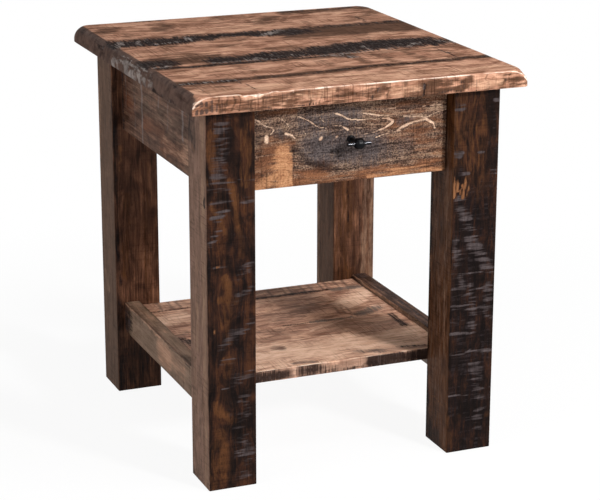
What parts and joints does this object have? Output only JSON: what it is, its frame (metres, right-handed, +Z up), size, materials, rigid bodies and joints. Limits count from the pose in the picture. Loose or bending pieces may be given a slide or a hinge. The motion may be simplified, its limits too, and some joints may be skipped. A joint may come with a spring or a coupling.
{
  "type": "end table",
  "caption": "Rustic rough-sawn end table on square laminated legs, with a low shelf and an inset drawer with a black T-bar knob.",
  "frame": {"origin": "on the floor under the middle of the tabletop and of the four legs", "axes": "+X to the right, +Y to the back, +Z up; the drawer opens towards -Y"},
  "size_m": [0.53, 0.587, 0.61],
  "materials": {
    "top_wood": "stained and lacquered, rough-sawn with dark streaks",
    "leg_wood": "dark stain over saw marks, lacquered",
    "rail_wood": "dark stain over saw marks, lacquered",
    "shelf_wood": "stained and lacquered, rough-sawn with dark streaks",
    "front_wood": "dark stain with pale grain lines, lacquered",
    "plain_wood": "stained, planed",
    "drawer_wood": "clear lacquer",
    "panel_wood": "clear lacquered plywood",
    "knob_iron": "black, satin",
    "slide_steel": "zinc plated",
    "screw_steel": "zinc plated",
    "felt": "felt"
  },
  "bodies": {
    "table": {"apron_back": "rail_wood", "apron_left": "rail_wood", "apron_right": "rail_wood", "cleat_screws": "screw_steel", "leg_back_left_back": "leg_wood", "leg_back_left_core": "leg_wood", "leg_back_left_face": "leg_wood", "leg_back_right_back": "leg_wood", "leg_back_right_core": "leg_wood", "leg_back_right_face": "leg_wood", "leg_front_left_back": "leg_wood", "leg_front_left_core": "leg_wood", "leg_front_left_face": "leg_wood", "leg_front_right_back": "leg_wood", "leg_front_right_core": "leg_wood", "leg_front_right_face": "leg_wood", "rail_front_bottom": "rail_wood", "rail_front_top": "rail_wood", "runner_block_left": "plain_wood", "runner_block_right": "plain_wood", "runner_block_screws": "screw_steel", "shelf_board_back": "shelf_wood", "shelf_board_front": "shelf_wood", "shelf_board_middle": "shelf_wood", "shelf_cleat_left": "plain_wood", "shelf_cleat_right": "plain_wood", "shelf_screws": "screw_steel", "slide_case_left": "slide_steel", "slide_case_right": "slide_steel", "slide_case_screws": "screw_steel", "stretcher_left": "rail_wood", "stretcher_right": "rail_wood", "top_board_back": "top_wood", "top_board_fourth": "top_wood", "top_board_front": "top_wood", "top_board_second": "top_wood", "top_board_third": "top_wood", "top_clip_screws": "screw_steel", "top_clips": "screw_steel", "top_rail_screws": "screw_steel"},
    "slide_middle_left": {"slide_middle_left": "slide_steel"},
    "slide_middle_right": {"slide_middle_right": "slide_steel"},
    "drawer": {"drawer_bottom": "panel_wood", "drawer_box_back": "drawer_wood", "drawer_box_front": "drawer_wood", "drawer_bumpers": "felt", "drawer_front": "front_wood", "drawer_front_screws": "screw_steel", "drawer_side_left": "drawer_wood", "drawer_side_right": "drawer_wood", "knob_bar": "knob_iron", "knob_body": "knob_iron", "knob_screw": "screw_steel", "slide_drawer_left": "slide_steel", "slide_drawer_right": "slide_steel", "slide_drawer_screws": "screw_steel"}
  },
  "joints": [
    {"name": "drawer_slide", "type": "slide", "parent": "table", "child": "drawer", "axis": [0, -1, 0], "range_m": [0, 0.4]},
    {"name": "middle_left_slide", "type": "slide", "parent": "table", "child": "slide_middle_left", "axis": [0, -1, 0], "range_m": [0, 0.2]},
    {"name": "middle_right_slide", "type": "slide", "parent": "table", "child": "slide_middle_right", "axis": [0, -1, 0], "range_m": [0, 0.2]}
  ],
  "couplings": [
    {"joint": "middle_left_slide", "follows": "drawer_slide", "ratio": 0.5},
    {"joint": "middle_right_slide", "follows": "drawer_slide", "ratio": 0.5}
  ]
}
